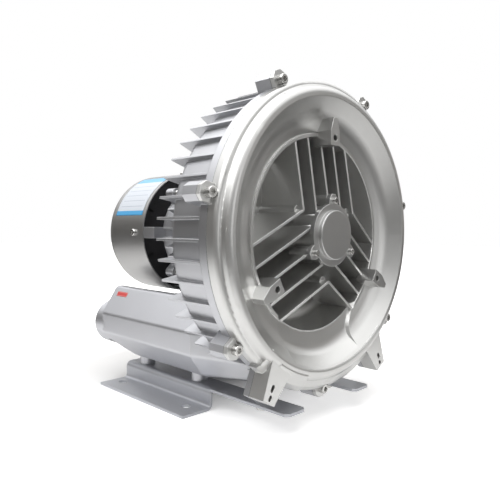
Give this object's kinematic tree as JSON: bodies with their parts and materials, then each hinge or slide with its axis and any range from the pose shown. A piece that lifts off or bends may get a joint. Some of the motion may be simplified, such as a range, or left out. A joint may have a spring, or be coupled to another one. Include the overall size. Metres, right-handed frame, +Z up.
{
  "type": "side channel blower",
  "caption": "Single stage side channel blower: ribbed cast cover and finned housing round a bladed impeller, driven by a finned motor over a twin silencer on foot brackets.",
  "frame": {"origin": "centre of the four foot holes, on the floor plane", "axes": "+Z up, front cover towards -Y, motor and ports towards +Y, +X to the right as seen from the front"},
  "size_m": [0.342, 0.3246, 0.3565],
  "materials": {
    "cast_housing": "satin silver paint on die cast aluminium",
    "cast_cover": "satin silver paint on die cast aluminium",
    "cast_silencer": "satin silver paint on die cast aluminium",
    "cast_cap": "satin silver paint",
    "cast_frame": "satin silver paint on die cast aluminium",
    "cast_box": "satin silver paint",
    "cast_impeller": "as cast, machined rim",
    "gasket": "pressed fibre sheet",
    "zinc": "zinc plated",
    "spring_steel": "hardened strip",
    "bearing_steel": "ground",
    "machined_steel": "ground and turned",
    "seal_rubber": "moulded",
    "core_steel": "stacked laminations",
    "copper_winding": "varnished copper wire",
    "black_plastic": "moulded",
    "cowl_sheet": "satin grey paint on pressed steel sheet",
    "board_moulding": "moulded",
    "foam": "open cell absorber foam",
    "bracket_sheet": "satin silver grey paint on bent steel sheet"
  },
  "bodies": {
    "root": {"back_bearing_outer": "bearing_steel", "back_shaft_seal": "seal_rubber", "bearing_cap": "cast_cap", "bearing_cap_screws": "zinc", "cable_gland": "black_plastic", "cover_gasket": "gasket", "cover_screws": "zinc", "cowl_screws": "zinc", "end_shield": "cast_frame", "end_shield_screws": "zinc", "fan_cowl": "cowl_sheet", "foot_bracket_left": "bracket_sheet", "foot_bracket_right": "bracket_sheet", "foot_screws": "zinc", "foot_washers": "zinc", "front_bearing_outer": "bearing_steel", "front_cover": "cast_cover", "front_shaft_seal": "seal_rubber", "impeller_housing": "cast_housing", "motor_flange_screws": "zinc", "motor_frame": "cast_frame", "silencer_bolts": "zinc", "silencer_foam_left": "foam", "silencer_foam_right": "foam", "silencer_housing": "cast_silencer", "stator_core": "core_steel", "stator_windings": "copper_winding", "terminal_board": "board_moulding", "terminal_box": "cast_box", "terminal_box_lid": "cast_box", "terminal_box_screws": "zinc", "wave_spring": "spring_steel"},
    "rotor": {"shaft": "machined_steel", "impeller": "cast_impeller", "impeller_key": "machined_steel", "shaft_sleeve": "machined_steel", "shaft_end_washer": "zinc", "shaft_end_screw": "zinc", "front_bearing_inner": "bearing_steel", "back_bearing_inner": "bearing_steel", "rotor_core": "core_steel", "cooling_fan": "black_plastic", "fan_clip": "spring_steel"}
  },
  "joints": [
    {"name": "rotor_spin", "type": "hinge", "parent": "root", "child": "rotor", "pos_m": [0, -0.09275, 0.197], "axis": [0, 1, 0], "continuous": true}
  ]
}
